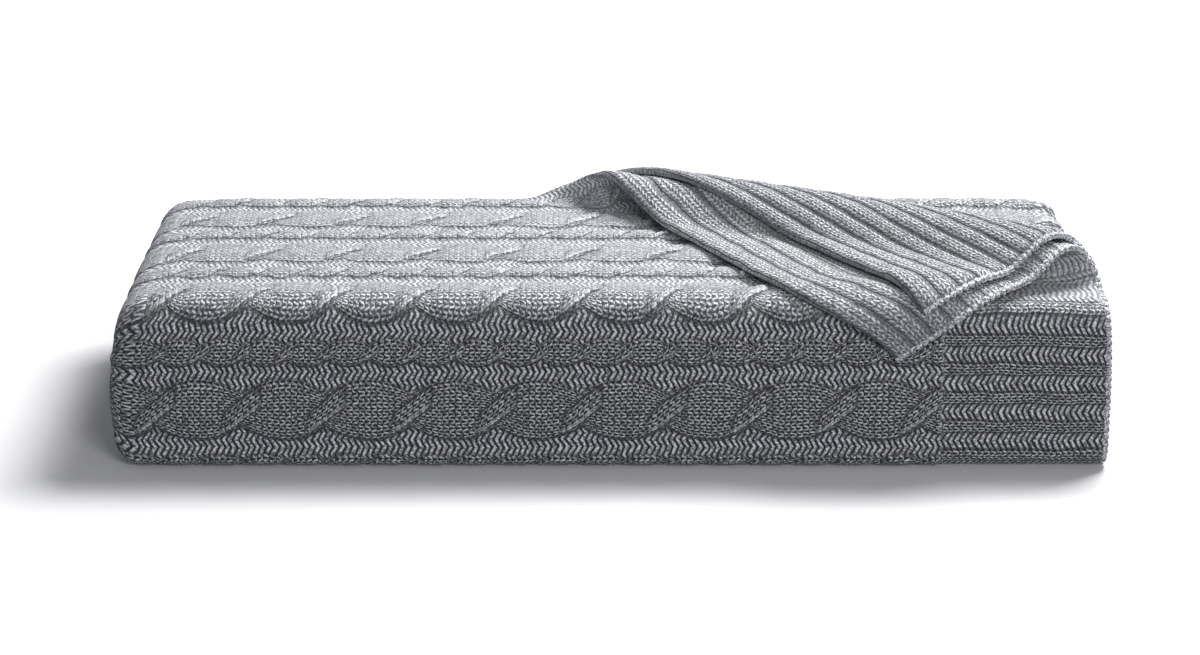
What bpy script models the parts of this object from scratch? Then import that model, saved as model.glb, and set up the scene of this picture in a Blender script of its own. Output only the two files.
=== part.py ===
# Cable knit throw, folded to a neat stack with the back right corner of its top double layer turned over.
# One sheet of knit, closed on itself, +Z up, lying flat on z = 0.
# Front is -Y, the ribbed end of the outer layers is at +X, the origin is bottom centre of the whole.

import math

import bmesh
import bpy
import numpy as np
from mathutils import Vector

# The knit itself
THICK = 0.0055          # ground fabric without its cables
CABLE_UP = 0.0032       # how far a cable stands out of the right side
CROSS_UP = 0.0006       # extra height where the strands cross
RIB_UP = 0.0015         # how far a knit rib stands out where the band is relaxed
DRAWN_UP = 0.0024       # and where it draws in
STRIP_UP = 0.0016       # ribs on the wrong side beside the turned selvedge
BAND = 0.098            # ribbed band along each short end
TURNED_BAND = 0.42      # how far the ribs run on the turned layers
STRIP = 0.034           # width of the wrong side that shows beside the turned selvedge
REPEAT = 0.072          # channel, small cable, channel, big cable
FIRST_CHANNEL = 0.006   # first channel centre from the selvedge
SMALL_CENTRE = 0.0125   # small cable centre from that channel centre
SMALL_HALF = 0.0085
BIG_CENTRE = 0.0485
BIG_HALF = 0.0185
CROSS_EVERY = 0.0505    # length between crossings of the big cable
CROSS_FIRST = 0.1095    # first crossing from the bound off end
RIB_FRONT = 0.018       # rib pitch where the band is relaxed
RIB_CORNER = 0.0134     # rib pitch where the band draws in, near the selvedge
RIB_PHASE = 0.002       # a purl groove centre of the relaxed ribs, from the selvedge
MERGE = 0.0010          # cuts of the flat sheet closer than this are one cut

# The folded stack
PITCH = 0.009           # from one layer to the next
LAYERS = 12
TOTAL_HIGH = (LAYERS - 1) * PITCH + THICK
CORNER = 0.015          # outer radius of the front edges
BACK = 0.215            # back edge of the outermost layer from the front face
STEP = 0.010            # how much further back each layer inside it ends
RIGHT = 0.297           # ribbed end of the outer double layer
LEG_A = 0.5765          # straight run of each third
LEG_B = 0.5605
LEG_C = 0.5525
LEFT = RIGHT - LEG_A

# The turned corner
LINE_Y = 0.037          # where the fold line leaves the right end
LINE_ANGLE = math.radians(28.0)
BEND = 0.0137           # bend radius of the upper layer
SLOPE = math.radians(43.0)
RUN_OUT = 0.021         # radius where the slope flattens out again
REST = 0.0093           # turned layer above the layer it lies on
PRESSED = 0.64          # distance between the two turned layers, as a share of the pile's
THINNED = 0.74          # their thickness, as a share of the pile's
PULL = (-0.015, 0.0285)     # how far the turned selvedges are drawn in, outer and inner layer
PULL_END = (0.028, 0.004)   # and how much more at the ribbed end
PULL_RUN = 0.080

# How the stack settles
CROWN = 0.0035          # rise of the top behind the front edge
END_DROP = 0.0015       # drop of the top at its ends
SPRING = 0.0155         # rise of the pile where the turned corner leaves it bare
WAIST_LEFT = 0.035      # how much the top of the stack draws in at each end, as a share
WAIST_RIGHT = 0.010

# Sizes that follow
CORNER_MID = CORNER - THICK / 2
CORNER_FROM = BACK - CORNER
CORNER_ARC = math.pi / 2 * CORNER_MID
UPRIGHT = TOTAL_HIGH - 2 * CORNER
FRONT_FROM = CORNER_FROM + CORNER_ARC
FRONT_TO = FRONT_FROM + UPRIGHT
UNDER_FROM = FRONT_TO + CORNER_ARC
HALF = UNDER_FROM + CORNER_FROM
BREADTH = 2 * HALF + math.pi * PITCH / 2
TURN = math.pi * PITCH
A_END = LEG_A
B_START = A_END + TURN
B_END = B_START + LEG_B
C_START = B_END + TURN
LENGTH = C_START + LEG_C


def smooth(value, low, high):
    """Zero below low, one above high, easing between."""
    t = np.clip((value - low) / (high - low), 0, 1)
    return t * t * (3 - 2 * t)


def rib_relief(across):
    """Height of the ribs, zero in the purl grooves, by the distance from the nearer selvedge."""
    relaxed = (across - RIB_PHASE) / RIB_FRONT
    drawn = across / RIB_CORNER
    near = 1 - smooth(across, 0.15, 0.20)
    wave = 0.5 - 0.5 * np.cos(2 * math.pi * (near * drawn + (1 - near) * relaxed))
    return wave * (near * DRAWN_UP + (1 - near) * RIB_UP)


def cable_wave(along, across):
    """Share of a cable's height at a place, and the twist there: 1 at a crossing of the big cable."""
    place = np.mod(across - FIRST_CHANNEL, REPEAT)
    twist = np.cos(2 * math.pi * (along - CROSS_FIRST) / CROSS_EVERY)
    big = 1 - ((place - BIG_CENTRE) / BIG_HALF) ** 2
    small = 1 - ((place - SMALL_CENTRE) / SMALL_HALF) ** 2
    dome = np.sqrt(np.clip(np.maximum(big, small), 0, 1))
    return dome, twist


def past_line(x, y):
    """How far a place in plan lies beyond the fold line of the turned corner."""
    return (x - RIGHT) * math.sin(LINE_ANGLE) + (y - LINE_Y) * math.cos(LINE_ANGLE)


def relief(along, breadthwise):
    """Height of the right side above the ground fabric, where it shows."""
    across = np.minimum(breadthwise, BREADTH - breadthwise)
    end = np.minimum(along, LENGTH - along)
    band = np.where(breadthwise > HALF, TURNED_BAND, BAND)
    ribbed = 1 - smooth(end, band - 0.004, band + 0.004)
    dome, twist = cable_wave(along, across)
    cables = dome * (CABLE_UP + CROSS_UP * twist)
    shape = ribbed * rib_relief(across) + (1 - ribbed) * cables
    upper = breadthwise < HALF
    under = 1 - smooth(breadthwise, FRONT_TO - 0.004, FRONT_TO + 0.010)
    lying = 1 - smooth(past_line(RIGHT - along, BACK - breadthwise), -BEND - 0.010, -BEND + 0.004)
    outer = under * lying * (1 - smooth(along, A_END, A_END + TURN / 2))
    corner = smooth(past_line(RIGHT - along, BACK + STEP - across), -0.004, 0.012) * (along < A_END)
    bare_x = LEFT + along - B_START
    bare = smooth(past_line(bare_x, BACK + 2 * STEP - across), 0.004, 0.024)
    bare = bare * (along > B_START) * (1 - smooth(along, B_END, B_END + TURN))
    lower = np.maximum(corner, bare) * (1 - smooth(across, CORNER_FROM - 0.02, CORNER_FROM))
    return shape * np.where(upper, outer, lower)


def strip_relief(along, breadthwise):
    """Height of the ribs on the wrong side, beside the turned selvedge of the outer layer."""
    beside = 1 - smooth(breadthwise, STRIP - 0.004, STRIP + 0.006)
    turned_over = smooth(past_line(RIGHT - along, BACK - breadthwise), 0.015, 0.050)
    ribs = rib_relief(breadthwise) * STRIP_UP / DRAWN_UP
    return ribs * beside * turned_over * (along < TURNED_BAND)


def section(s, k, mid):
    """Depth and height on layer k of the pile, s along its path from the top back edge."""
    high = (5.5 - mid) * PITCH
    radius_mid = np.minimum(CORNER_MID, 0.7 * high)
    radius = radius_mid - (k - mid) * PITCH
    centre_y = THICK / 2 + mid * PITCH + radius_mid
    centre_z = high - radius_mid
    back = BACK + STEP * mid
    upper = np.clip((s - CORNER_FROM) / CORNER_ARC, 0, 1) * math.pi / 2
    lower = np.clip((s - FRONT_TO) / CORNER_ARC, 0, 1) * math.pi / 2
    down = np.clip((s - FRONT_FROM) / UPRIGHT, 0, 1)
    top_y = back + (centre_y - back) * np.minimum(s / CORNER_FROM, 1)
    under_y = (back - centre_y) * np.maximum((s - UNDER_FROM) / CORNER_FROM, 0)
    y = top_y - radius * np.sin(upper)
    y = np.where(s > FRONT_TO, centre_y - radius * np.cos(lower) + under_y, y)
    z = centre_z * (1 - 2 * down) + radius * np.cos(upper) - radius * np.sin(lower)
    return y, z + TOTAL_HIGH / 2


def slant_run():
    """Straight part of the slope between the bend and where it flattens out."""
    drop = BEND * (1 + math.cos(SLOPE)) - REST - RUN_OUT * (1 - math.cos(SLOPE))
    return drop / math.sin(SLOPE)


def lying_reach(depth):
    """Distance from the fold line, added to a turned place's own, once it lies flat again."""
    radius = BEND + depth
    flat_radius = RUN_OUT - depth
    used = radius * (math.pi + SLOPE) + slant_run() + flat_radius * SLOPE
    covered = (radius + flat_radius) * math.sin(SLOPE) + slant_run() * math.cos(SLOPE)
    return used - covered - 2 * BEND


def drawn_in(x, y, layer):
    """Place toward the back of a turned layer, once its ribs and its selvedge have drawn in."""
    pull = PULL[0] + (PULL[1] - PULL[0]) * layer
    more = PULL_END[0] + (PULL_END[1] - PULL_END[0]) * layer
    near_end = 1 - smooth(RIGHT - x, 0, PULL_RUN)
    return y - (pull + more * near_end) * smooth(past_line(x, y), 0, 0.12)


def bend_profile(radius, flat_radius, angle, on_slant, easing, lying):
    """Distance across the fold line and rise above the top, along the turned corner."""
    reach = -BEND + radius * np.sin(angle) - on_slant * math.cos(SLOPE)
    reach = reach - flat_radius * (math.sin(SLOPE) - np.sin(SLOPE - easing)) - lying
    rise = BEND - radius * np.cos(angle) - on_slant * math.sin(SLOPE)
    rise = rise - flat_radius * (np.cos(SLOPE - easing) - math.cos(SLOPE))
    return reach, rise


def turned(x, flat_y, layer, inside):
    """Place of the turned corner, from its place before turning, its layer and its depth in that layer."""
    to_back = np.array([-math.cos(LINE_ANGLE), math.sin(LINE_ANGLE)])
    across = np.array([math.sin(LINE_ANGLE), math.cos(LINE_ANGLE)])
    y = drawn_in(x, flat_y, layer)
    q = past_line(x, y)
    along = (x - RIGHT) * to_back[0] + (y - LINE_Y) * to_back[1]
    path = q + BEND
    pressed = smooth(path, 0, 0.03)
    mid = layer * PITCH * (1 - (1 - PRESSED) * pressed)
    depth = inside * (1 - (1 - THINNED) * pressed)
    radius = BEND + mid
    flat_radius = RUN_OUT - mid
    bend_angle = math.pi + SLOPE
    slant = slant_run()
    past_bend = path - radius * bend_angle
    angle = np.clip(path / radius, 0, bend_angle)
    on_slant = np.clip(past_bend, 0, slant)
    easing = np.clip((past_bend - slant) / flat_radius, 0, SLOPE)
    lying = np.maximum(past_bend - slant - flat_radius * SLOPE, 0)
    reach_mid, rise_mid = bend_profile(radius, flat_radius, angle, on_slant, easing, lying)
    reach, rise = bend_profile(radius + depth, flat_radius - depth, angle, on_slant, easing, lying)
    plan_x = RIGHT + along * to_back[0] + reach * across[0]
    plan_y = LINE_Y + along * to_back[1] + reach_mid * across[1]
    drape = CORNER_MID + rise_mid
    over = np.maximum(CORNER - plan_y, 0)
    tip = np.minimum(over / drape, math.pi / 2)
    hang = np.maximum(over - drape * math.pi / 2, 0)
    out_y = (reach - reach_mid) * across[1]
    out_z = drape + rise - rise_mid
    new_y = np.maximum(plan_y, CORNER) + out_y * np.cos(tip) - out_z * np.sin(tip)
    new_z = TOTAL_HIGH - CORNER + out_y * np.sin(tip) + out_z * np.cos(tip) - hang
    return q > -BEND, plan_x, new_y, new_z


def settle(x, y, z):
    """Soft settling of the stack: a crowned top, lower ends, a narrower top, a springy bare corner."""
    crown = CROWN * smooth(y, 0.0, 0.11)
    ends = END_DROP * smooth(np.abs(x), 0.24, 0.30)
    spring = SPRING * smooth(past_line(x, y), 0.008, 0.060)
    high = z + (crown - ends + spring) * np.minimum(z / TOTAL_HIGH, 1)
    waist = np.where(x > 0, WAIST_RIGHT, WAIST_LEFT)
    narrow = waist * np.maximum((np.minimum(z, TOTAL_HIGH) - 0.044) / 0.060, 0) ** 2
    return x * (1 - narrow), y, high


def fold(u, v, w):
    """Folded place of points of the flat sheet: u from the ribbed end, v from the selvedge, w out."""
    halving = np.clip((v - HALF) / (math.pi * PITCH / 2), 0, 1) * math.pi
    s = np.where(halving <= 0, v, BREADTH - v)
    s = np.where((halving > 0) & (halving < math.pi), HALF + (PITCH / 2 + w) * np.sin(halving), s)
    mid = 0.5 - 0.5 * np.cos(halving)
    m = mid - np.cos(halving) * w / PITCH
    left_turn = np.clip((u - A_END) / TURN, 0, 1) * math.pi
    right_turn = np.clip((u - B_END) / TURN, 0, 1) * math.pi
    first = u < B_END
    k = np.where(first, 1.5 - (1.5 - m) * np.cos(left_turn), 3.5 - (0.5 + m) * np.cos(right_turn))
    k_mid = np.where(first, 1.5 - (1.5 - mid) * np.cos(left_turn), 3.5 - (0.5 + mid) * np.cos(right_turn))
    x = RIGHT - np.minimum(u, A_END) - (1.5 - m) * PITCH * np.sin(left_turn)
    x = x + np.clip(u - B_START, 0, LEG_B) + (0.5 + m) * PITCH * np.sin(right_turn)
    x = x - np.maximum(u - C_START, 0)
    y, z = section(s, k, k_mid)
    is_turned, flap_x, flap_y, flap_z = turned(x, y, k_mid, (k - k_mid) * PITCH)
    use = is_turned & (u < A_END) & (s < CORNER_FROM)
    x = np.where(use, flap_x, x)
    y = np.where(use, flap_y, y)
    z = np.where(use, flap_z, z)
    return settle(x, y, z)


def spaced(start, stop, count):
    """Evenly spaced values from start to stop, both kept."""
    return list(np.linspace(start, stop, count + 1))


def cut(bm, axis, value, keep=None):
    """Cut the flat sheet across an axis, everywhere or only through the faces that keep accepts."""
    faces = [f for f in bm.faces if keep is None or keep(f)]
    edges = {e for f in faces for e in f.edges}
    verts = {p for f in faces for p in f.verts}
    bmesh.ops.bisect_plane(
        bm,
        geom=list(verts) + list(edges) + faces,
        dist=1e-5,
        plane_co=axis * value,
        plane_no=axis,
    )


def window(side, u_low, u_high, v_low, v_high):
    """A test for faces in a rectangle of the flat sheet: side 1 is right, -1 is wrong, 0 all faces."""
    def inside(face):
        centre = face.calc_center_median()
        good_side = side == 0 or side * face.normal.z > 0.5
        in_u = u_low - 1e-6 < centre.x < u_high + 1e-6
        return good_side and in_u and v_low - 1e-6 < centre.y < v_high + 1e-6
    return inside


def refine(bm, side, u_lines, v_lines):
    """Cut a rectangle of the sheet along the given lines."""
    keep = window(side, u_lines[0], u_lines[-1], v_lines[0], v_lines[-1])
    for value in u_lines:
        cut(bm, Vector((1, 0, 0)), value, keep)
    for value in v_lines:
        cut(bm, Vector((0, 1, 0)), value, keep)


def flat_sheet():
    """The flat sheet as a thin slab, cut finely enough for its folds, ribs and cables."""
    bm = bmesh.new()
    bmesh.ops.create_cube(bm, size=1)
    bmesh.ops.scale(bm, vec=(LENGTH, BREADTH, THICK), verts=bm.verts)
    bmesh.ops.translate(bm, vec=(LENGTH / 2, BREADTH / 2, 0), verts=bm.verts)
    across_u = spaced(0, A_END, 6) + spaced(A_END, B_START, 6)
    across_u += spaced(B_START, B_END, 7) + spaced(B_END, C_START, 6) + spaced(C_START, LENGTH, 7)
    half_v = spaced(0, CORNER_FROM, 4) + spaced(CORNER_FROM, FRONT_FROM, 3)
    half_v += spaced(FRONT_FROM, FRONT_TO, 2) + spaced(FRONT_TO, UNDER_FROM, 3)
    half_v += spaced(UNDER_FROM, HALF, 3)
    across_v = half_v + spaced(HALF, BREADTH - HALF, 6) + [BREADTH - v for v in half_v]
    for value in sorted(set(across_u))[1:-1]:
        cut(bm, Vector((1, 0, 0)), value)
    for value in sorted(set(across_v))[1:-1]:
        cut(bm, Vector((0, 1, 0)), value)
    return bm


def lines_between(first, step, low, high):
    """Low, high and every line of a regular set between them."""
    count = math.ceil((low + 0.002 - first) / step)
    values = [low]
    value = first + count * step
    while value < high - 0.002:
        values.append(value)
        value += step
    return values + [high]


def cable_lines(low, high):
    """Lines along the cables: the channel centres, and the sides and crowns of the cables."""
    places = (0.0, 0.008, 0.017, 0.025, 0.036, 0.0485, 0.061)
    found = {low, high}
    for repeat in range(-1, int(BREADTH / REPEAT) + 1):
        for place in places:
            value = FIRST_CHANNEL + repeat * REPEAT + place
            if low + 0.002 < value < high - 0.002:
                found.add(value)
    return sorted(found)


def add_pattern_lines(bm):
    """Finer cuts where the right side shows: the outer layer, the turned corner, the bare pile."""
    quarter = CROSS_EVERY / 4
    step_u = lines_between(CROSS_FIRST, quarter, BAND, A_END)
    refine(bm, 1, step_u, cable_lines(0, FRONT_TO))
    refine(bm, 1, [0, BAND / 2, BAND], lines_between(RIB_PHASE, RIB_FRONT / 2, 0.12, FRONT_TO))
    corner_rib = lines_between(0, RIB_CORNER / 2, 0, CORNER_FROM)
    corner_rib = [BREADTH - v for v in reversed(corner_rib)]
    refine(bm, 0, [0, BAND / 2, BAND], corner_rib)
    refine(bm, 1, [BAND, 0.20, 0.30, 0.39], corner_rib)
    refine(bm, -1, [0, 0.10, 0.20, 0.30, 0.39], spaced(0, 3 * RIB_CORNER, 6))
    second_u = lines_between(CROSS_FIRST, CROSS_EVERY / 2, B_END - 0.30, B_END)
    second_v = [BREADTH - v for v in reversed(cable_lines(0, CORNER_FROM))]
    refine(bm, 1, second_u, second_v)


def add_bend_lines(bm):
    """Cuts along the turned corner's bend and along the front edge it hangs over."""
    bend_path = (BEND + PRESSED * PITCH / 2) * (math.pi + SLOPE)
    bends = spaced(0, bend_path, 9) + spaced(bend_path, bend_path + 0.032, 3)[1:]
    drapes = spaced(CORNER, CORNER - 0.040, 5)
    for layer in (0, 1):
        back = BACK + STEP * layer
        stretch = (back - CORNER - PITCH * layer) / CORNER_FROM
        way = 1 - 2 * layer
        start = back - stretch * BREADTH * layer - LINE_Y
        low = (BREADTH - CORNER_FROM) * layer
        high = low + CORNER_FROM
        cuts = []
        for path in bends:
            normal = Vector((math.sin(LINE_ANGLE), way * stretch * math.cos(LINE_ANGLE), 0))
            cuts.append((normal, start * math.cos(LINE_ANGLE) + BEND - path))
        for edge in drapes:
            normal = Vector((math.sin(2 * LINE_ANGLE), way * stretch * math.cos(2 * LINE_ANGLE), 0))
            moved = lying_reach(PRESSED * PITCH * layer) * math.cos(LINE_ANGLE)
            moved = moved + (PULL[layer] + PULL_END[layer] / 2) * math.cos(2 * LINE_ANGLE)
            cuts.append((normal, edge - LINE_Y + start * math.cos(2 * LINE_ANGLE) - moved))
        for normal, distance in cuts:
            keep = window(0, 0, LEG_A, low, high)
            cut(bm, normal.normalized(), distance / normal.length, keep)


def throw_mesh():
    """The folded throw as a mesh."""
    bm = flat_sheet()
    add_pattern_lines(bm)
    add_bend_lines(bm)
    bmesh.ops.remove_doubles(bm, verts=bm.verts, dist=MERGE)
    bmesh.ops.triangulate(bm, faces=bm.faces, quad_method="FIXED", ngon_method="BEAUTY")
    points = np.array([p.co[:] for p in bm.verts])
    u, v, side = points[:, 0], points[:, 1], np.sign(points[:, 2])
    w = side * THICK / 2 + np.where(side > 0, relief(u, v), -strip_relief(u, v))
    x, y, z = fold(u, v, w)
    x = x - (x.max() + x.min()) / 2
    y = y - (y.max() + y.min()) / 2
    for point, px, py, pz in zip(bm.verts, x, y, z):
        point.co = (px, py, pz)
    mesh = bpy.data.meshes.new("throw")
    bm.to_mesh(mesh)
    bm.free()
    return mesh


def knit_material():
    """Soft grey yarn."""
    material = bpy.data.materials.new("knit")
    material.use_nodes = True
    shader = material.node_tree.nodes["Principled BSDF"]
    shader.inputs["Base Color"].default_value = (0.43, 0.44, 0.46, 1)
    shader.inputs["Roughness"].default_value = 0.95
    return material


for old in list(bpy.data.objects):
    bpy.data.objects.remove(old)
collection = bpy.data.collections.new("cable knit throw")
bpy.context.scene.collection.children.link(collection)
throw = bpy.data.objects.new("throw", throw_mesh())
throw.data.materials.append(knit_material())
collection.objects.link(throw)
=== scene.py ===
# Cable knit throw, folded to a stack with one corner of its top turned over, dressed for a studio picture.
# The knit is one sheet: every piece is laid out flat first and then taken through the same folds.

import math

import bmesh
import bpy
import numpy as np
from mathutils import Matrix, Vector


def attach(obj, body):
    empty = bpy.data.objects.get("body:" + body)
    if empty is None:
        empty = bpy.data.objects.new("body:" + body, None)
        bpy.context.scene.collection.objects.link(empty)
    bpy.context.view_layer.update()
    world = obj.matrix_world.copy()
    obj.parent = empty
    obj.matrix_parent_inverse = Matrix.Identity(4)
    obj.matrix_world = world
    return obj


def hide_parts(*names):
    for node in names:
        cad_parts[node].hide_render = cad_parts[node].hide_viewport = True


bl_info = {
    "name": "Cable knit throw",
    "version": (1, 0, 0),
    "blender": (4, 5, 0),
    "location": "3D View > Sidebar > Knit throw",
    "description": "Builds a folded cable knit throw, its bound off ends and a plain studio",
    "category": "Object",
}

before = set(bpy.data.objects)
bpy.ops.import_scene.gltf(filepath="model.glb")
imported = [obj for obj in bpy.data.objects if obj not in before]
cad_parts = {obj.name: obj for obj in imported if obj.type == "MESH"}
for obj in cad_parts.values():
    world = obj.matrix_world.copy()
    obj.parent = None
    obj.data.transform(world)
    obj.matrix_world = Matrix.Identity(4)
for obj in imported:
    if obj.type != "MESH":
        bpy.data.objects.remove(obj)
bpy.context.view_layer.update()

# Fabric and folded stack, in metres
THICK = 0.0055          # the fabric
BAND = 0.098            # ribbed band of the outer layer
TURNED_BAND = 0.42      # ribs of the turned corner
STRIP = 0.036           # how far the wrong side shows ribs, from the selvedge
PITCH = 0.009           # from one layer to the next
LAYERS_UP = 5.5         # layers from the middle of the pile to its top
TOTAL_HIGH = 2 * LAYERS_UP * PITCH + THICK
CORNER = 0.015          # radius of the folded front edge
TIGHTEST = 0.7          # share of a layer's height that its front radius may take
BACK = 0.215            # back edge of the top layer
STEP = 0.010            # how much further back the next layer ends
RIGHT = 0.297           # ribbed end of the outer layer
LEG_A = 0.5765          # the three lengths between the end turns
LEG_B = 0.5605
LEG_C = 0.5525
LEFT = RIGHT - LEG_A
LEFT_AXIS = 1.5         # layers down to the axis of each end turn
RIGHT_AXIS = 3.5
RIGHT_REACH = 0.5       # layers from the right axis to the nearest layer
CENTRE_X = 0.00130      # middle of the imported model
CENTRE_Y = 0.12901

# The turned corner
LINE_Y = 0.037          # where the fold line meets the ribbed end
LINE_ANGLE = math.radians(28.0)
BEND = 0.0137           # radius of the turned bend
SLOPE = math.radians(43.0)
RUN_OUT = 0.021         # radius where the slope flattens out
REST = 0.0093           # height at which the corner lies on the pile
PRESSED = 0.64          # spacing of its two layers against the pile's
THINNED = 0.74          # its fabric against the pile's
PRESS_RUN = 0.03
PULL = (-0.015, 0.0285)     # how far the ribs draw each layer in
PULL_END = (0.028, 0.004)   # and how much more at the ribbed end
PULL_RUN = 0.080
PULL_BUILDS = 0.12

# How the stack settles
CROWN = 0.0035
CROWN_RUN = 0.11
END_DROP = 0.0015
END_RUN = (0.24, 0.30)
SPRING = 0.0155
SPRING_RUN = (0.008, 0.060)
WAIST_LEFT = 0.035
WAIST_RIGHT = 0.010
WAIST_FROM = 0.044
WAIST_RUN = 0.060

# Sizes that follow from the folds
CORNER_MID = CORNER - THICK / 2
CORNER_FROM = BACK - CORNER
CORNER_ARC = math.pi / 2 * CORNER_MID
UPRIGHT = TOTAL_HIGH - 2 * CORNER
FRONT_FROM = CORNER_FROM + CORNER_ARC
FRONT_TO = FRONT_FROM + UPRIGHT
UNDER_FROM = FRONT_TO + CORNER_ARC
HALF = UNDER_FROM + CORNER_FROM
BREADTH = 2 * HALF + math.pi * PITCH / 2
TURN = math.pi * PITCH
A_END = LEG_A
B_START = A_END + TURN
B_END = B_START + LEG_B
C_START = B_END + TURN
LENGTH = C_START + LEG_C

# The knit pattern, in millimetres
MM = 1000
WALE = 4.5
REPEAT = 72             # channel, small cable, channel, big cable
FIRST_CHANNEL = 6
SECOND_CHANNEL = 25
SMALL_CENTRE = 12.5
SMALL_HALF = 8.7
BIG_CENTRE = 48.5
BIG_HALF = 19
CROSS_EVERY = 50.5
CROSS_FIRST = 109.5
ROW = CROSS_EVERY / 14
CABLE_UP = 3.6
NARROWED = 0.45         # share of its width that a cable loses at a crossing
STRAND_SHARE = 0.42     # half width of the crossing strand against the cable's
CROSS_NEAR = 0.12       # shares of a repeat over which the strands part
CROSS_FAR = 0.34
STRAND_PAINTED_HIGHLIGHT = 0.60     # where a painted highlight stands in for light catching the crossing strand
CORNER_RIBS = (150.0, 200.0)    # where the corner's ribs change to the band's
CORNER_RIB = 13.4       # from rib to rib, share of it that is rib, height
CORNER_RIB_SHARE = 0.78
CORNER_RIB_UP = 2.5
BAND_RIB = 18.0
BAND_RIB_FIRST = 2.0
BAND_RIB_SHARE = 0.42
BAND_RIB_UP = 1.3

# Edges of the fabric and faces of the sheet, in metres
HEM_FINE = 0.0010
HEM = 0.0046
HEM_ROUND = 0.0035
LONGEST_EDGES = (0.0062, 0.0032)

# The chain of bound off loops, in metres
LOOP_EVERY = 0.0046
LOOP_HALF = (0.0023, 0.0028, 0.0017)
LOOP_LEAN = math.radians(24)
LOOP_OUT = 0.0004
LOOP_APART = 0.0011

# The studio, in metres
FLOOR_HALF = 6
FLOOR_MIDDLE = (0, 2, -0.0004)
PAINTED_SHADOW_BOX = (0.29, 0.13)    # the floor's glow is cut out this near the throw, a painted shadow round it
GLOW_RUN = (0.01, 0.24)
SKY_COLOUR = (0.95, 0.97, 1.05, 1)
OVERHEAD_PLACE = (0.62, 0.52, 1.45)
OVERHEAD_SIZE = 0.75
FRONT_PLACE = (0.45, -1.60, 0.90)
FRONT_SIZE = 0.6
FRONT_SHARE = 0.25      # power of the front light against the overhead one
CAMERA_PLACE = (-0.00358, -1.70209, 0.65252)    # before the throw is centred
CAMERA_DOWN = math.radians(18.3)
SENSOR = 36
LENS = 91.5


def smooth(value, low, high):
    """Zero below low, one above high, easing between."""
    t = np.clip((value - low) / (high - low), 0, 1)
    return t * t * (3 - 2 * t)


def past_line(x, y):
    """How far a place in plan lies beyond the fold line of the turned corner."""
    return (x - RIGHT) * math.sin(LINE_ANGLE) + (y - LINE_Y) * math.cos(LINE_ANGLE)


def section(s, k, mid):
    """Depth and height on layer k of the pile, s along its path from the top back edge."""
    high = (LAYERS_UP - mid) * PITCH
    radius_mid = np.minimum(CORNER_MID, TIGHTEST * high)
    radius = radius_mid - (k - mid) * PITCH
    centre_y = THICK / 2 + mid * PITCH + radius_mid
    centre_z = high - radius_mid
    back = BACK + STEP * mid
    upper = np.clip((s - CORNER_FROM) / CORNER_ARC, 0, 1) * math.pi / 2
    lower = np.clip((s - FRONT_TO) / CORNER_ARC, 0, 1) * math.pi / 2
    down = np.clip((s - FRONT_FROM) / UPRIGHT, 0, 1)
    top_y = back + (centre_y - back) * np.minimum(s / CORNER_FROM, 1)
    under_y = (back - centre_y) * np.maximum((s - UNDER_FROM) / CORNER_FROM, 0)
    y = top_y - radius * np.sin(upper)
    y = np.where(s > FRONT_TO, centre_y - radius * np.cos(lower) + under_y, y)
    z = centre_z * (1 - 2 * down) + radius * np.cos(upper) - radius * np.sin(lower)
    return y, z + TOTAL_HIGH / 2


def slant_run():
    """Straight part of the slope between the bend and where it flattens out."""
    drop = BEND * (1 + math.cos(SLOPE)) - REST - RUN_OUT * (1 - math.cos(SLOPE))
    return drop / math.sin(SLOPE)


def drawn_in(x, y, layer):
    """Place toward the back of a turned layer, once its ribs and its selvedge have drawn in."""
    pull = PULL[0] + (PULL[1] - PULL[0]) * layer
    more = PULL_END[0] + (PULL_END[1] - PULL_END[0]) * layer
    near_end = 1 - smooth(RIGHT - x, 0, PULL_RUN)
    return y - (pull + more * near_end) * smooth(past_line(x, y), 0, PULL_BUILDS)


def bend_profile(radius, flat_radius, angle, on_slant, easing, lying):
    """Distance across the fold line and rise above the top, along the turned corner."""
    reach = -BEND + radius * np.sin(angle) - on_slant * math.cos(SLOPE)
    reach = reach - flat_radius * (math.sin(SLOPE) - np.sin(SLOPE - easing)) - lying
    rise = BEND - radius * np.cos(angle) - on_slant * math.sin(SLOPE)
    rise = rise - flat_radius * (np.cos(SLOPE - easing) - math.cos(SLOPE))
    return reach, rise


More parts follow.
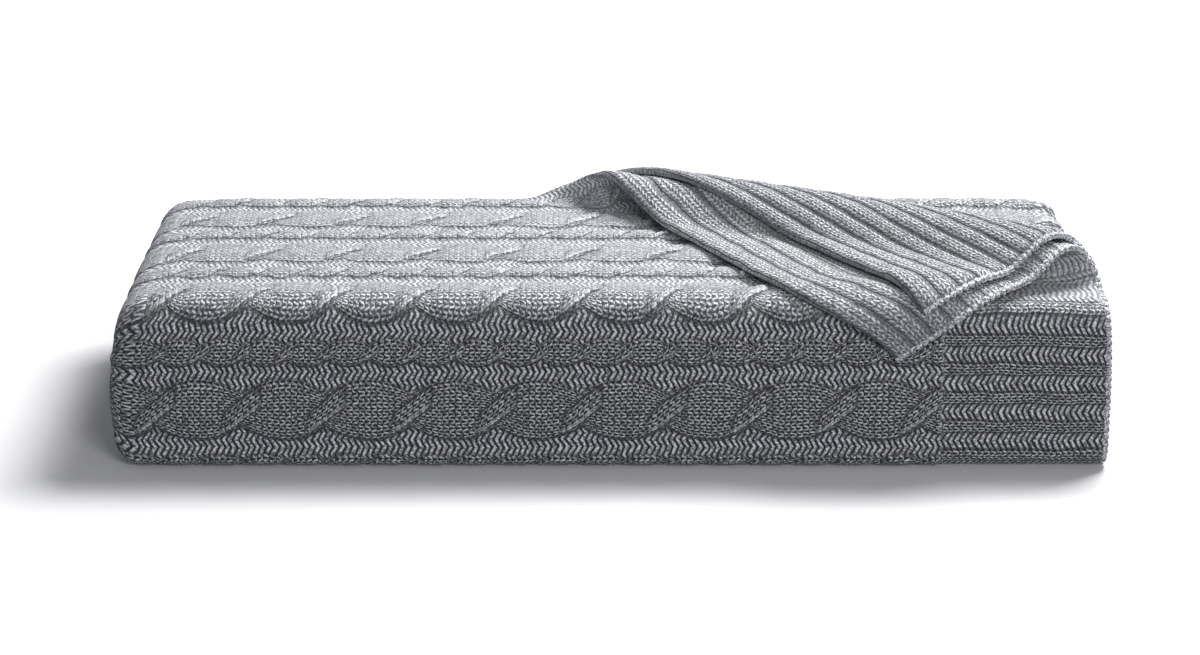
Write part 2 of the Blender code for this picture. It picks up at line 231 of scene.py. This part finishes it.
def turned(x, flat_y, layer, inside):
    """Place of the turned corner, from its place before turning, its layer and its depth in that layer."""
    to_back = np.array([-math.cos(LINE_ANGLE), math.sin(LINE_ANGLE)])
    across = np.array([math.sin(LINE_ANGLE), math.cos(LINE_ANGLE)])
    y = drawn_in(x, flat_y, layer)
    q = past_line(x, y)
    along = (x - RIGHT) * to_back[0] + (y - LINE_Y) * to_back[1]
    path = q + BEND
    pressed = smooth(path, 0, PRESS_RUN)
    mid = layer * PITCH * (1 - (1 - PRESSED) * pressed)
    depth = inside * (1 - (1 - THINNED) * pressed)
    radius = BEND + mid
    flat_radius = RUN_OUT - mid
    bend_angle = math.pi + SLOPE
    slant = slant_run()
    past_bend = path - radius * bend_angle
    angle = np.clip(path / radius, 0, bend_angle)
    on_slant = np.clip(past_bend, 0, slant)
    easing = np.clip((past_bend - slant) / flat_radius, 0, SLOPE)
    lying = np.maximum(past_bend - slant - flat_radius * SLOPE, 0)
    reach_mid, rise_mid = bend_profile(radius, flat_radius, angle, on_slant, easing, lying)
    reach, rise = bend_profile(radius + depth, flat_radius - depth, angle, on_slant, easing, lying)
    plan_x = RIGHT + along * to_back[0] + reach * across[0]
    plan_y = LINE_Y + along * to_back[1] + reach_mid * across[1]
    drape = CORNER_MID + rise_mid
    over = np.maximum(CORNER - plan_y, 0)
    tip = np.minimum(over / drape, math.pi / 2)
    hang = np.maximum(over - drape * math.pi / 2, 0)
    out_y = (reach - reach_mid) * across[1]
    out_z = drape + rise - rise_mid
    new_y = np.maximum(plan_y, CORNER) + out_y * np.cos(tip) - out_z * np.sin(tip)
    new_z = TOTAL_HIGH - CORNER + out_y * np.sin(tip) + out_z * np.cos(tip) - hang
    return q > -BEND, plan_x, new_y, new_z


def settle(x, y, z):
    """Soft settling of the stack: a crowned top, lower ends, a narrower top, a springy bare corner."""
    crown = CROWN * smooth(y, 0.0, CROWN_RUN)
    ends = END_DROP * smooth(np.abs(x), *END_RUN)
    spring = SPRING * smooth(past_line(x, y), *SPRING_RUN)
    high = z + (crown - ends + spring) * np.minimum(z / TOTAL_HIGH, 1)
    waist = np.where(x > 0, WAIST_RIGHT, WAIST_LEFT)
    narrow = waist * np.maximum((np.minimum(z, TOTAL_HIGH) - WAIST_FROM) / WAIST_RUN, 0) ** 2
    return x * (1 - narrow), y, high


def fold(u, v, w):
    """Folded place of points of the flat sheet: u from the ribbed end, v from the selvedge, w out."""
    halving = np.clip((v - HALF) / (math.pi * PITCH / 2), 0, 1) * math.pi
    s = np.where(halving <= 0, v, BREADTH - v)
    s = np.where((halving > 0) & (halving < math.pi), HALF + (PITCH / 2 + w) * np.sin(halving), s)
    mid = 0.5 - 0.5 * np.cos(halving)
    m = mid - np.cos(halving) * w / PITCH
    left_turn = np.clip((u - A_END) / TURN, 0, 1) * math.pi
    right_turn = np.clip((u - B_END) / TURN, 0, 1) * math.pi
    first = u < B_END
    k, k_mid = (
        np.where(
            first,
            LEFT_AXIS - (LEFT_AXIS - layer) * np.cos(left_turn),
            RIGHT_AXIS - (RIGHT_REACH + layer) * np.cos(right_turn),
        )
        for layer in (m, mid)
    )
    x = RIGHT - np.minimum(u, A_END) - (LEFT_AXIS - m) * PITCH * np.sin(left_turn)
    x = x + np.clip(u - B_START, 0, LEG_B) + (RIGHT_REACH + m) * PITCH * np.sin(right_turn)
    x = x - np.maximum(u - C_START, 0)
    y, z = section(s, k, k_mid)
    is_turned, flap_x, flap_y, flap_z = turned(x, y, k_mid, (k - k_mid) * PITCH)
    use = is_turned & (u < A_END) & (s < CORNER_FROM)
    x = np.where(use, flap_x, x)
    y = np.where(use, flap_y, y)
    z = np.where(use, flap_z, z)
    return settle(x, y, z)


def call(name, *values):
    """One function for arrays and for shader wires, so mesh and material share the knit's formulas."""
    array_function, node_operation = {
        "sqrt": (np.sqrt, "SQRT"),
        "floor": (np.floor, "FLOOR"),
        "abs": (np.abs, "ABSOLUTE"),
        "min": (np.minimum, "MINIMUM"),
        "max": (np.maximum, "MAXIMUM"),
        "above": (lambda a, b: (a > b) * 1.0, "GREATER_THAN"),
    }[name]
    for value in values:
        if isinstance(value, Wire):
            return value.nodes.maths(node_operation, *values)
    return array_function(*values)


class Wire:
    """A shader socket that Python arithmetic adds Math nodes to."""

    def __init__(self, nodes, socket):
        self.nodes = nodes
        self.socket = socket

    def __add__(self, other):
        return self.nodes.maths("ADD", self, other)

    def __radd__(self, other):
        return self.nodes.maths("ADD", other, self)

    def __sub__(self, other):
        return self.nodes.maths("SUBTRACT", self, other)

    def __rsub__(self, other):
        return self.nodes.maths("SUBTRACT", other, self)

    def __mul__(self, other):
        return self.nodes.maths("MULTIPLY", self, other)

    def __rmul__(self, other):
        return self.nodes.maths("MULTIPLY", other, self)

    def __truediv__(self, other):
        return self.nodes.maths("DIVIDE", self, other)


class Nodes:
    """Adds nodes to one material."""

    def __init__(self, name):
        self.material = bpy.data.materials.new(name)
        self.material.use_nodes = True
        self.tree = self.material.node_tree
        self.shader = self.tree.nodes["Principled BSDF"]

    def add(self, kind, settings=None, **sockets):
        """A node of one kind: its settings first, then values or wires for its sockets by name or number."""
        node = self.tree.nodes.new(kind)
        for key, value in (settings or {}).items():
            setattr(node, key, value)
        for key, value in sockets.items():
            name = int(key[1:]) if key[0] == "n" and key[1:].isdigit() else key.replace("_", " ")
            self.feed(node.inputs[name], value)
        return node

    def feed(self, socket, value):
        if isinstance(value, Wire):
            self.tree.links.new(value.socket, socket)
        else:
            socket.default_value = value

    def maths(self, operation, *values):
        sockets = {f"n{i}": value for i, value in enumerate(values)}
        node = self.add("ShaderNodeMath", {"operation": operation}, **sockets)
        return Wire(self, node.outputs[0])

    def mix(self, share, first, second):
        """A colour between two."""
        node = self.add("ShaderNodeMix", {"data_type": "RGBA"}, n0=share, n6=first, n7=second)
        return Wire(self, node.outputs[2])

    def noise(self, where, scale, detail):
        node = self.add("ShaderNodeTexNoise", None, Vector=where, Scale=scale, Detail=detail)
        return Wire(self, node.outputs[0])


def part_of(value):
    """What is left of a value above its whole number."""
    return value - call("floor", value)


def ease(value, low, high):
    """Zero below low, one above high, easing between."""
    t = call("min", call("max", (value - low) / (high - low), 0.0), 1.0)
    return t * t * (3 - 2 * t)


def blend(share, first, second):
    return first + (second - first) * share


def knit_stitch(wale, row):
    """Two long slanted legs of a knit stitch, from 0 between the yarns to 1 on them."""
    side = call("abs", part_of(wale) - 0.5) * 2
    turn = part_of(row) * 2 - 1
    leg = (side * 2 - 1 - 0.5 * turn) / 0.85
    return call("max", 1 - leg * leg, 0.0) * (1 - 0.6 * turn * turn * turn * turn)


def purl_stitch(wale, row):
    """Purl bumps that run on from wale to wale in a zigzag, from 0 in the gaps to 1 on the yarn."""
    zigzag = call("abs", part_of(wale * 0.5) - 0.5) * 2
    bar = part_of(row + 0.75 * zigzag) * 2 - 1
    return ease(1 - bar * bar, 0.25, 1.0)


def round_top(value):
    """A half circle over -1 to 1."""
    return call("sqrt", call("max", 1 - value * value, 0.0))


def cable_pattern(along, across, lean):
    """Relief in millimetres, stitch with painted highlights, and creases with painted shade from 0 to 1, of
    the cables and the channels between them.
    """
    row = along / ROW
    place = part_of((across - FIRST_CHANNEL) / REPEAT) * REPEAT
    is_big = call("above", place, SECOND_CHANNEL)
    from_centre = blend(is_big, place - SMALL_CENTRE, place - BIG_CENTRE)
    widest = blend(is_big, SMALL_HALF, BIG_HALF)
    beat = (along - CROSS_FIRST) / blend(is_big, CROSS_EVERY / 2, CROSS_EVERY)
    beat = beat - call("floor", beat + 0.5)
    distance = call("abs", beat)
    from_middle = 1 - 2 * distance
    half = widest * (1 - NARROWED * from_middle * from_middle)
    crossing = 1 - ease(distance, CROSS_NEAR, CROSS_FAR)
    strand_centre = (ease(beat, -CROSS_FAR, CROSS_FAR) - 0.5) * widest * lean
    strand_half = STRAND_SHARE * widest
    from_strand = (from_centre - strand_centre) / strand_half
    skew = call("max", call("min", from_strand, 1.0), -1.0) * 0.25 * crossing
    strand = round_top(from_strand) * (0.45 + 0.65 * crossing) * (1 + skew)
    share = from_centre / half
    oval = round_top(share * call("sqrt", call("abs", share))) * (1 - 0.55 * crossing)
    swell = call("max", strand, oval)
    within = call("max", half - call("abs", from_centre), strand_half * (1 - call("abs", from_strand)))
    inside = ease(within, -0.4, 0.4)
    on_strand = call("above", strand, oval)
    wale = blend(on_strand, from_centre * widest / half, from_centre - strand_centre) / WALE
    crossed = ease(crossing, 0.1, 0.7) * inside
    # Painted shade: dark lines where a crossing strand meets the cable and round the cables' rims, stronger
    # on the near side that is turned from the light; they also sink the bump.
    seam_and_painted_shade = (1 - ease(call("abs", strand - oval), 0.02, 0.30)) * crossed
    # Painted highlight: a lighter line along each crossing strand where light would catch it; it lifts the
    # stitch bump there too.
    crest_and_painted_highlight = (1 - ease(call("abs", from_strand - STRAND_PAINTED_HIGHLIGHT), 0.05, 0.28)) * crossed
    painted_shade_side = ease(from_centre / widest, -0.3, 0.3)
    rim_and_painted_shade = (1 - ease(call("abs", within), 0.3, 1.5)) * (0.4 + 0.5 * painted_shade_side)
    to_channel = call("min", call("abs", place - SECOND_CHANNEL), call("min", place, REPEAT - place))
    channel = purl_stitch(to_channel / WALE, row)
    stitch = blend(inside, channel, knit_stitch(wale, row) + crest_and_painted_highlight * 0.6)
    return swell * CABLE_UP, stitch, call("max", seam_and_painted_shade, rim_and_painted_shade)


def rib_pattern(along, across):
    """Relief in millimetres, stitch, and creases with painted shade from 0 to 1, of the ribbed bands."""
    drawn = 1 - ease(across, *CORNER_RIBS)
    phase = blend(drawn, (across - BAND_RIB_FIRST) / BAND_RIB, across / CORNER_RIB)
    place = part_of(phase) - 0.5
    out = call("abs", place) * 2
    rib_share = blend(drawn, BAND_RIB_SHARE, CORNER_RIB_SHARE)
    on_rib = 1 - ease(out, rib_share - 0.06, rib_share + 0.06)
    ridge = round_top(out / (rib_share + 0.08))
    relief = on_rib * ridge * blend(drawn, BAND_RIB_UP, CORNER_RIB_UP)
    # Painted shade: a dark line at each rib's edge in the ribbed band, and the whole groove dark in the
    # corner's ribs, where shade falls; these also sink the bump.
    rib_edge_and_painted_shade = 1 - ease(call("abs", out - rib_share - 0.02), 0.0, 0.12)
    crease_and_painted_shade = blend(drawn, rib_edge_and_painted_shade * 0.8, ease(out, rib_share, rib_share + 0.12))
    knit = knit_stitch(place * 2.1 / rib_share, along / ROW)
    purl_row = part_of(along / ROW + call("abs", part_of(phase + 0.5) - 0.5) * 2.6) * 2 - 1
    purl = ease(1 - purl_row * purl_row, 0.25, 1.0) * blend(drawn, 1.0, 0.25)
    return relief, blend(on_rib, purl, knit), crease_and_painted_shade


def knit_pattern(u, v):
    """Relief in millimetres, stitch with painted highlights, and creases with painted shade, of the right
    side, by flat place in metres.
    """
    whole = BREADTH * MM
    along = u * MM
    straight = v * MM
    across = call("min", straight, whole - straight)
    lean = 1 - 2 * call("above", straight, whole / 2)
    end = call("min", along, LENGTH * MM - along)
    band = blend(call("above", straight, whole / 2), BAND * MM, TURNED_BAND * MM)
    plain = ease(end, band - 3, band + 3)
    ribs = rib_pattern(along, across)
    cables = cable_pattern(along, across, lean)
    return [blend(plain, rib, cable) for rib, cable in zip(ribs, cables)]


def lies_open(u, v):
    """How much of the right side shows here: the outer layer, the turned corner and the bare pile."""
    across = np.minimum(v, BREADTH - v)
    under = 1 - smooth(v, FRONT_TO + 0.002, FRONT_TO + 0.018)
    lying = 1 - smooth(past_line(RIGHT - u, BACK - v), -BEND - 0.010, -BEND + 0.004)
    outer = under * lying * (1 - 0.8 * smooth(u, A_END - 0.012, A_END + TURN * 0.5))
    corner = smooth(past_line(RIGHT - u, BACK + STEP - across), -0.004, 0.012) * (u < A_END)
    bare_x = LEFT + u - B_START
    bare = smooth(past_line(bare_x, BACK + 2 * STEP - across), 0.004, 0.024)
    bare = bare * (u > B_START) * (1 - smooth(u, B_END, B_END + TURN))
    lower = np.maximum(corner, bare) * (1 - smooth(across, CORNER_FROM - 0.02, CORNER_FROM))
    return np.where(v < HALF, outer, lower)


def shows(u, v, side):
    """True where this side of the flat sheet is seen once folded, so it needs fine faces."""
    if side > 0 and v < HALF:
        seen = past_line(RIGHT - u, BACK - v) < 0.006 or v > CORNER_FROM
        return seen and v < FRONT_TO + 0.020 and u < A_END + TURN
    if side > 0:
        across = BREADTH - v
        if across > CORNER_FROM:
            return False
        corner = u < A_END and past_line(RIGHT - u, BACK + STEP - across) > -0.006
        bare = B_START < u < C_START and past_line(LEFT + u - B_START, BACK + 2 * STEP - across) > -0.004
        return corner or bare
    return v < 0.085 and u < 0.42 and past_line(RIGHT - u, BACK - v) > -0.020


def spaced(*runs):
    """Line places from runs of (start, stop, count), each shared end once."""
    values = []
    for start, stop, count in runs:
        values += list(np.linspace(start, stop, count + 1))[:-1]
    return values + [runs[-1][1]]


def flat_sheet():
    """The flat sheet as a closed slab with finer faces where it shows."""
    u_lines = spaced(
        (0, HEM_FINE, 1),
        (HEM_FINE, HEM, 2),
        (HEM, A_END, 64),
        (A_END, B_START, 8),
        (B_START, B_END, 34),
        (B_END, C_START, 8),
        (C_START, LENGTH, 26),
    )
    v_lines = spaced(
        (0, HEM_FINE, 1),
        (HEM_FINE, HEM, 2),
        (HEM, CORNER_FROM, 22),
        (CORNER_FROM, FRONT_FROM, 4),
        (FRONT_FROM, FRONT_TO, 8),
        (FRONT_TO, UNDER_FROM, 4),
        (UNDER_FROM, HALF, 8),
        (HALF, BREADTH - HALF, 6),
        (BREADTH - HALF, BREADTH - UNDER_FROM, 8),
        (BREADTH - UNDER_FROM, BREADTH - FRONT_TO, 4),
        (BREADTH - FRONT_TO, BREADTH - FRONT_FROM, 6),
        (BREADTH - FRONT_FROM, BREADTH - CORNER_FROM, 4),
        (BREADTH - CORNER_FROM, BREADTH - HEM, 22),
        (BREADTH - HEM, BREADTH - HEM_FINE, 2),
        (BREADTH - HEM_FINE, BREADTH, 1),
    )
    columns, rows = len(u_lines) - 1, len(v_lines) - 1
    bm = bmesh.new()
    bmesh.ops.create_grid(bm, x_segments=columns, y_segments=rows, size=0.5)
    for point in bm.verts:
        u = u_lines[round((point.co.x + 0.5) * columns)]
        v = v_lines[round((point.co.y + 0.5) * rows)]
        point.co = (u, v, -THICK / 2)
    raised = bmesh.ops.extrude_face_region(bm, geom=list(bm.faces))
    top = [item for item in raised["geom"] if isinstance(item, bmesh.types.BMVert)]
    bmesh.ops.translate(bm, vec=(0, 0, THICK), verts=top)
    bmesh.ops.recalc_face_normals(bm, faces=bm.faces)
    for longest in LONGEST_EDGES:
        edges = set()
        for face in bm.faces:
            centre = face.calc_center_median()
            if abs(face.normal.z) > 0.5 and shows(centre.x, centre.y, face.normal.z):
                edges.update(edge for edge in face.edges if edge.calc_length() > longest)
        bmesh.ops.subdivide_edges(bm, edges=list(edges), cuts=1, use_grid_fill=True)
    return bm


def to_folded(bm, flat):
    """Move points to their folded place, from the flat one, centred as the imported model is."""
    x, y, z = fold(flat[:, 0], flat[:, 1], flat[:, 2])
    for point, px, py, pz in zip(bm.verts, x - CENTRE_X, y - CENTRE_Y, z):
        point.co = (px, py, pz)


def finish_piece(bm, name, materials):
    """A named smooth object from a mesh, riding on the throw's body."""
    mesh = bpy.data.meshes.new(name)
    bm.to_mesh(mesh)
    bm.free()
    mesh.shade_smooth()
    for material in materials:
        mesh.materials.append(material)
    piece = bpy.data.objects.new(name, mesh)
    bpy.context.scene.collection.objects.link(piece)
    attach(piece, "root")
    return piece


def throw_mesh():
    """The folded throw with its cables and ribs raised, and its flat places kept as a UV map in metres."""
    bm = flat_sheet()
    for face in bm.faces:
        if face.normal.z < -0.5:
            face.material_index = 1
    flat = np.array([point.co[:] for point in bm.verts])
    layer = bm.loops.layers.uv.new("knit")
    for face in bm.faces:
        for loop in face.loops:
            loop[layer].uv = loop.vert.co[:2]
    u, v, side = flat[:, 0], flat[:, 1], np.sign(flat[:, 2])
    relief = knit_pattern(u, v)[0]
    edge = np.minimum.reduce([u, LENGTH - u, v, BREADTH - v])
    rounding = np.sqrt(1 - (1 - np.clip(edge / HEM_ROUND, 0, 1)) ** 2 * 0.95)
    strip = rib_pattern(u * MM, v * MM)[0] * 0.7
    strip = strip * (1 - smooth(v, STRIP - 0.004, STRIP + 0.006)) * (u < TURNED_BAND)
    up = np.where(side > 0, relief * lies_open(u, v), -strip) / MM
    flat[:, 2] = side * THICK / 2 * rounding + up * rounding
    to_folded(bm, flat)
    return bm


def yarn_colour(nodes, look, shade):
    """Heathered yarn, from its dark fibres at a shade of 0 to its light ones at 1."""
    return nodes.mix(shade, tuple(look.dark_yarn) + (1,), tuple(look.light_yarn) + (1,))


def woolly(nodes, colour, height):
    """Soft matt surface with a colour, and a height in metres as bump."""
    nodes.feed(nodes.shader.inputs["Base Color"], colour)
    bump = nodes.add("ShaderNodeBump", None, Height=height, Distance=1.0)
    nodes.tree.links.new(bump.outputs[0], nodes.shader.inputs["Normal"])
    nodes.shader.inputs["Roughness"].default_value = 0.95
    nodes.shader.inputs["Specular IOR Level"].default_value = 0.15
    nodes.shader.inputs["Sheen Weight"].default_value = 0.25
    nodes.shader.inputs["Sheen Roughness"].default_value = 0.5
    return nodes.material


def knit_material(name, look, right_side):
    """Heathered yarn knitted in the throw's own pattern, drawn from its flat places, with painted shade in
    its stitch hollows and creases and painted highlights along its crossing strands.
    """
    nodes = Nodes(name)
    places = Wire(nodes, nodes.add("ShaderNodeUVMap", {"uv_map": "knit"}).outputs[0])
    split = nodes.add("ShaderNodeSeparateXYZ", None, Vector=places)
    u, v = Wire(nodes, split.outputs[0]), Wire(nodes, split.outputs[1])
    # Stitches wander by a millimetre or two
    u = u + (nodes.noise(places, 60.0, 3.0) - 0.5) * 0.0036
    v = v + (nodes.noise(places, 53.0, 3.0) - 0.5) * 0.0030
    # Painted shade: the stitch hollows are darkened less on the top and toward the underside than on the
    # front, in place of the top's hollows catching light from above; the flecks and stitch bump are fainter
    # there too
    if right_side:
        stitch, crease_and_painted_shade = knit_pattern(u, v)[1:]
        depth = 0.55 + 0.45 * ease(v, 0.190, 0.225) - 0.35 * ease(v, HALF - 0.1, HALF)
    else:
        stitch, crease_and_painted_shade = rib_pattern(u * MM, v * MM)[1:]
        depth = 0.65
    fuzz = nodes.noise(places, 2400.0, 2.0)
    flecks = nodes.noise(places, 850.0, 2.0)
    strands = nodes.noise(places, 330.0, 1.0)
    mottle = nodes.noise(places, 120.0, 2.0)
    shade = 0.5 + (ease(flecks + (strands - 0.5) * 0.5, 0.38, 0.62) - 0.5) * depth + (mottle - 0.5) * 0.6
    shade = call("max", call("min", shade, 1.0), 0.0)
    # Painted shade: the hollows between the stitches and the creases take a near black yarn colour where
    # shade would fall.
    painted_hollow_shade = tuple(channel * 0.12 for channel in look.dark_yarn) + (1,)
    lit = 1 - (1 - ease(stitch + (fuzz - 0.5) * 0.6, 0.10, 0.70) * (1 - 0.85 * crease_and_painted_shade)) * depth
    height = stitch * look.stitch_depth * depth + (fuzz - 0.5) * 0.0004 - crease_and_painted_shade * look.crease_depth
    return woolly(nodes, nodes.mix(lit, painted_hollow_shade, yarn_colour(nodes, look, shade)), height)


def yarn_material(name, look):
    """Plain heathered yarn for the bound off edges."""
    nodes = Nodes(name)
    places = Wire(nodes, nodes.add("ShaderNodeTexCoord").outputs["Object"])
    colour = yarn_colour(nodes, look, ease(nodes.noise(places, 900.0, 3.0), 0.38, 0.62))
    return woolly(nodes, colour, nodes.noise(places, 1800.0, 2.0) * 0.0006)


def edge_mesh(end, outward, sides):
    """A chain of bound off loops along one short end, laid flat and then folded with the throw."""
    bm = bmesh.new()
    for number in range(int(BREADTH / LOOP_EVERY)):
        for side in sides:
            turn = Matrix.Rotation(LOOP_LEAN * side, 4, "Z")
            size = Matrix.Diagonal(LOOP_HALF + (1,))
            place = Vector((end + outward * LOOP_OUT, (number + 0.5) * LOOP_EVERY, side * LOOP_APART))
            matrix = Matrix.Translation(place) @ turn @ size
            bmesh.ops.create_uvsphere(bm, u_segments=8, v_segments=5, radius=1, matrix=matrix)
    to_folded(bm, np.array([point.co[:] for point in bm.verts]))
    return bm


def floor_material(look):
    """Pale floor that glows a little of itself, with the glow cut out beside the throw to paint a darker
    shadow there.
    """
    nodes = Nodes("pale_floor")
    nodes.shader.inputs["Base Color"].default_value = tuple(look.floor_colour) + (1,)
    nodes.shader.inputs["Roughness"].default_value = 0.9
    places = Wire(nodes, nodes.add("ShaderNodeTexCoord").outputs["Object"])
    split = nodes.add("ShaderNodeSeparateXYZ", None, Vector=places)
    beside_x, beside_y = (
        call("max", call("abs", Wire(nodes, split.outputs[axis])) - half, 0.0)
        for axis, half in enumerate(PAINTED_SHADOW_BOX)
    )
    # Painted shadow: no glow within the box round the throw, so the floor there is only as bright as the
    # lamps and sky make it.
    glow_outside_painted_shadow = ease(call("sqrt", beside_x * beside_x + beside_y * beside_y), *GLOW_RUN)
    nodes.feed(nodes.shader.inputs["Emission Color"], nodes.mix(glow_outside_painted_shadow, (0, 0, 0, 1), (1, 1, 1, 1)))
    nodes.shader.inputs["Emission Strength"].default_value = look.floor_glow
    return nodes.material


def floor_object(look):
    """A wide plain floor just under the throw, that casts no light on it."""
    bm = bmesh.new()
    bmesh.ops.create_grid(bm, x_segments=1, y_segments=1, size=FLOOR_HALF)
    bmesh.ops.translate(bm, vec=FLOOR_MIDDLE, verts=bm.verts)
    mesh = bpy.data.meshes.new("floor")
    bm.to_mesh(mesh)
    bm.free()
    mesh.materials.append(floor_material(look))
    floor = bpy.data.objects.new("floor", mesh)
    floor.visible_diffuse = False
    return floor


def lamp_object(name, place, size, power):
    """A square soft light that points at the middle of the stage."""
    light = bpy.data.lights.new(name, "AREA")
    light.size = size
    light.energy = power
    lamp = bpy.data.objects.new(name, light)
    lamp.location = place
    lamp.rotation_euler = (-Vector(place)).to_track_quat("-Z", "Y").to_euler()
    return lamp


class KnitLook(bpy.types.PropertyGroup):
    """Yarn colours and stitch depth."""

    light_yarn: bpy.props.FloatVectorProperty(
        name="Light yarn",
        description="Colour of the lighter fibres",
        subtype="COLOR",
        default=(0.90, 0.915, 0.95),
    )
    dark_yarn: bpy.props.FloatVectorProperty(
        name="Dark yarn",
        description="Colour of the darker fibres",
        subtype="COLOR",
        default=(0.17, 0.175, 0.205),
    )
    stitch_depth: bpy.props.FloatProperty(
        name="Stitch depth",
        description="Depth of the hollows between the stitches",
        subtype="DISTANCE",
        default=0.0022,
    )
    crease_depth: bpy.props.FloatProperty(
        name="Crease depth",
        description="Depth of the creases beside the cables and ribs",
        subtype="DISTANCE",
        default=0.0020,
    )


class StageLook(bpy.types.PropertyGroup):
    """Light of the plain studio."""

    sky: bpy.props.FloatProperty(
        name="Sky",
        description="Strength of the light from all round",
        default=0.26,
    )
    overhead: bpy.props.FloatProperty(
        name="Overhead",
        description="Power of the soft light above the throw",
        subtype="POWER",
        default=50.0,
    )
    floor_glow: bpy.props.FloatProperty(
        name="Floor glow",
        description="Light that the floor gives of itself, so that it stays white far from the lamps",
        default=0.50,
    )
    floor_colour: bpy.props.FloatVectorProperty(
        name="Floor",
        description="Colour of the floor",
        subtype="COLOR",
        default=(0.66, 0.66, 0.66),
    )


class KNIT_OT_throw(bpy.types.Operator):
    """Build the folded throw"""

    bl_idname = "knit.throw"
    bl_label = "Folded throw"

    def execute(self, context):
        look = context.scene.knit_look
        materials = [
            knit_material("knit_right_side", look, True),
            knit_material("knit_wrong_side", look, False),
        ]
        piece = finish_piece(throw_mesh(), "knitted_throw", materials)
        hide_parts("throw")
        return {"FINISHED"}


class KNIT_OT_edges(bpy.types.Operator):
    """Build the bound off loops along both short ends"""

    bl_idname = "knit.edges"
    bl_label = "Bound off edges"

    def execute(self, context):
        material = yarn_material("edge_yarn", context.scene.knit_look)
        finish_piece(edge_mesh(0, -1, (1, -1)), "edge_outer_end", [material])
        finish_piece(edge_mesh(LENGTH, 1, (1,)), "edge_inner_end", [material])
        return {"FINISHED"}


class KNIT_OT_stage(bpy.types.Operator):
    """Build the floor, the lights and the camera"""

    bl_idname = "knit.stage"
    bl_label = "Studio"

    def execute(self, context):
        scene = context.scene
        look = scene.stage_look
        floor = floor_object(look)
        scene.collection.objects.link(floor)
        world = bpy.data.worlds.new("studio")
        world.use_nodes = True
        backdrop = world.node_tree.nodes["Background"]
        backdrop.inputs["Color"].default_value = SKY_COLOUR
        backdrop.inputs["Strength"].default_value = look.sky
        scene.world = world
        for name, place, size, power in (
            ("overhead", OVERHEAD_PLACE, OVERHEAD_SIZE, look.overhead),
            ("front", FRONT_PLACE, FRONT_SIZE, look.overhead * FRONT_SHARE),
        ):
            scene.collection.objects.link(lamp_object(name, place, size, power))
        camera_data = bpy.data.cameras.new("camera")
        camera_data.sensor_width = SENSOR
        camera_data.lens = LENS
        camera = bpy.data.objects.new("camera", camera_data)
        camera.location = (CAMERA_PLACE[0] - CENTRE_X, CAMERA_PLACE[1] - CENTRE_Y, CAMERA_PLACE[2])
        camera.rotation_euler = (math.pi / 2 - CAMERA_DOWN, 0, 0)
        scene.collection.objects.link(camera)
        scene.camera = camera
        scene.view_settings.view_transform = "Standard"
        return {"FINISHED"}


class KNIT_PT_panel(bpy.types.Panel):
    """Sizes, colours and steps of the knit throw"""

    bl_label = "Knit throw"
    bl_idname = "KNIT_PT_panel"
    bl_space_type = "VIEW_3D"
    bl_region_type = "UI"
    bl_category = "Knit throw"

    def draw(self, context):
        layout = self.layout
        for group in (context.scene.knit_look, context.scene.stage_look):
            for name in group.bl_rna.properties.keys():
                if name not in {"rna_type", "name"}:
                    layout.prop(group, name)
        for operator in (KNIT_OT_throw, KNIT_OT_edges, KNIT_OT_stage):
            layout.operator(operator.bl_idname)


CLASSES = (KnitLook, StageLook, KNIT_OT_throw, KNIT_OT_edges, KNIT_OT_stage, KNIT_PT_panel)


def register():
    for item in CLASSES:
        bpy.utils.register_class(item)
    bpy.types.Scene.knit_look = bpy.props.PointerProperty(type=KnitLook)
    bpy.types.Scene.stage_look = bpy.props.PointerProperty(type=StageLook)


def unregister():
    del bpy.types.Scene.stage_look
    del bpy.types.Scene.knit_look
    for item in reversed(CLASSES):
        bpy.utils.unregister_class(item)


def main():
    """Build everything in order."""
    register()
    bpy.ops.knit.throw()
    bpy.ops.knit.edges()
    bpy.ops.knit.stage()


if __name__ == "__main__":
    main()
